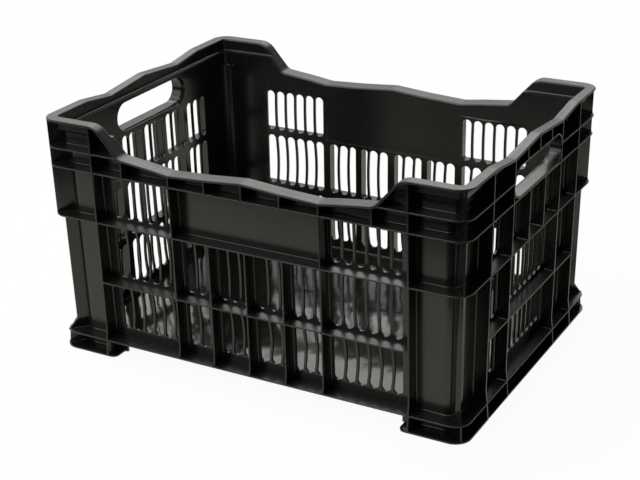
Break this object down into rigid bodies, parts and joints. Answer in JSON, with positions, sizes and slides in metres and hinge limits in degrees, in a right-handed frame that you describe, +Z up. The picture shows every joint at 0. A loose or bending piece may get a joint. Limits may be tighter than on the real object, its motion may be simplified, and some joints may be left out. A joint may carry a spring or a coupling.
{
  "type": "ventilated crate",
  "caption": "Open-top harvest crate of black plastic with slotted walls, ribs and shelves outside, a dipped rim on the long sides, hand holes in the ends and raised feet.",
  "frame": {"origin": "middle of the crate's outline, on the surface that its feet stand on", "axes": "+X along the long sides, +Y across from the front to the back long side, +Z up"},
  "size_m": [0.55, 0.4, 0.3],
  "materials": {
    "black_plastic": "semi-gloss moulded polyethylene, warm black, with faint sink and flow marks"
  },
  "bodies": {
    "root": {"back_base_flange": "black_plastic", "back_belt": "black_plastic", "back_label_panel": "black_plastic", "back_lower_shelf": "black_plastic", "back_rim": "black_plastic", "back_top_band": "black_plastic", "back_top_ribs": "black_plastic", "back_upper_shelf": "black_plastic", "back_wall": "black_plastic", "back_wall_ribs": "black_plastic", "corner_foot_back_left": "black_plastic", "corner_foot_back_right": "black_plastic", "corner_foot_front_left": "black_plastic", "corner_foot_front_right": "black_plastic", "corner_post_back_left": "black_plastic", "corner_post_back_right": "black_plastic", "corner_post_front_left": "black_plastic", "corner_post_front_right": "black_plastic", "corner_rim_back_left": "black_plastic", "corner_rim_back_right": "black_plastic", "corner_rim_front_left": "black_plastic", "corner_rim_front_right": "black_plastic", "corner_shelf_back_left": "black_plastic", "corner_shelf_back_right": "black_plastic", "corner_shelf_front_left": "black_plastic", "corner_shelf_front_right": "black_plastic", "floor_plate": "black_plastic", "front_base_flange": "black_plastic", "front_belt": "black_plastic", "front_label_panel": "black_plastic", "front_lower_shelf": "black_plastic", "front_rim": "black_plastic", "front_top_band": "black_plastic", "front_top_ribs": "black_plastic", "front_upper_shelf": "black_plastic", "front_wall": "black_plastic", "front_wall_ribs": "black_plastic", "left_base_flange": "black_plastic", "left_belt": "black_plastic", "left_foot_rail": "black_plastic", "left_handle_collar": "black_plastic", "left_handle_panel": "black_plastic", "left_handle_ribs": "black_plastic", "left_lower_shelf": "black_plastic", "left_rim": "black_plastic", "left_upper_shelf": "black_plastic", "left_wall": "black_plastic", "left_wall_ribs": "black_plastic", "right_base_flange": "black_plastic", "right_belt": "black_plastic", "right_foot_rail": "black_plastic", "right_handle_collar": "black_plastic", "right_handle_panel": "black_plastic", "right_handle_ribs": "black_plastic", "right_lower_shelf": "black_plastic", "right_rim": "black_plastic", "right_upper_shelf": "black_plastic", "right_wall": "black_plastic", "right_wall_ribs": "black_plastic"}
  },
  "joints": []
}
